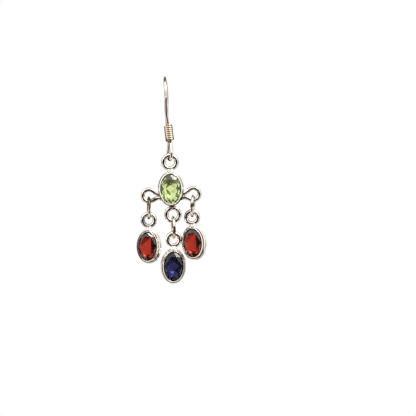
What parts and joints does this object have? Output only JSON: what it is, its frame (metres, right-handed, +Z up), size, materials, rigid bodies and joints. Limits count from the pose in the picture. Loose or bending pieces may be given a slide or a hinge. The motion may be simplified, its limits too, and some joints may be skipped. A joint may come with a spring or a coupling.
{
  "type": "drop earring",
  "caption": "Silver drop earring: ear wire with coil, oval peridot in a bezel with side eyelets, and smaller oval garnet and iolite drops hanging on jump rings.",
  "frame": {"origin": "inner top of the ear wire's arch, where the earring hangs in an ear lobe", "axes": "+Z up as it hangs, -Y towards the viewer who sees the stones, +X the viewer's right"},
  "size_m": [0.0154, 0.0125, 0.046],
  "materials": {
    "polished_silver": "polished sterling silver wire and bezels, faint warm tarnish and fine hand-polish scratches",
    "coil_silver": "drawn silver wire, slightly duller and warmer, dark between the turns",
    "peridot": "cut and polished yellow-green stone",
    "garnet": "cut and polished brick-red stone, near black at its edges",
    "iolite": "cut and polished dark violet-blue stone"
  },
  "bodies": {
    "ear_wire": {"ear_hook": "polished_silver", "hook_coil": "coil_silver"},
    "drop": {"peridot_setting": "polished_silver", "peridot_stone": "peridot", "jump_ring_left": "polished_silver", "jump_ring_middle": "polished_silver", "jump_ring_right": "polished_silver", "garnet_setting_left": "polished_silver", "garnet_stone_left": "garnet", "iolite_setting_middle": "polished_silver", "iolite_stone_middle": "iolite", "garnet_setting_right": "polished_silver", "garnet_stone_right": "garnet"}
  },
  "joints": [
    {"name": "drop_swing", "type": "hinge", "parent": "ear_wire", "child": "drop", "pos_m": [0.00115, -0.0039, -0.01802], "axis": [0, 1, 0], "range_deg": [-40, 40]}
  ]
}
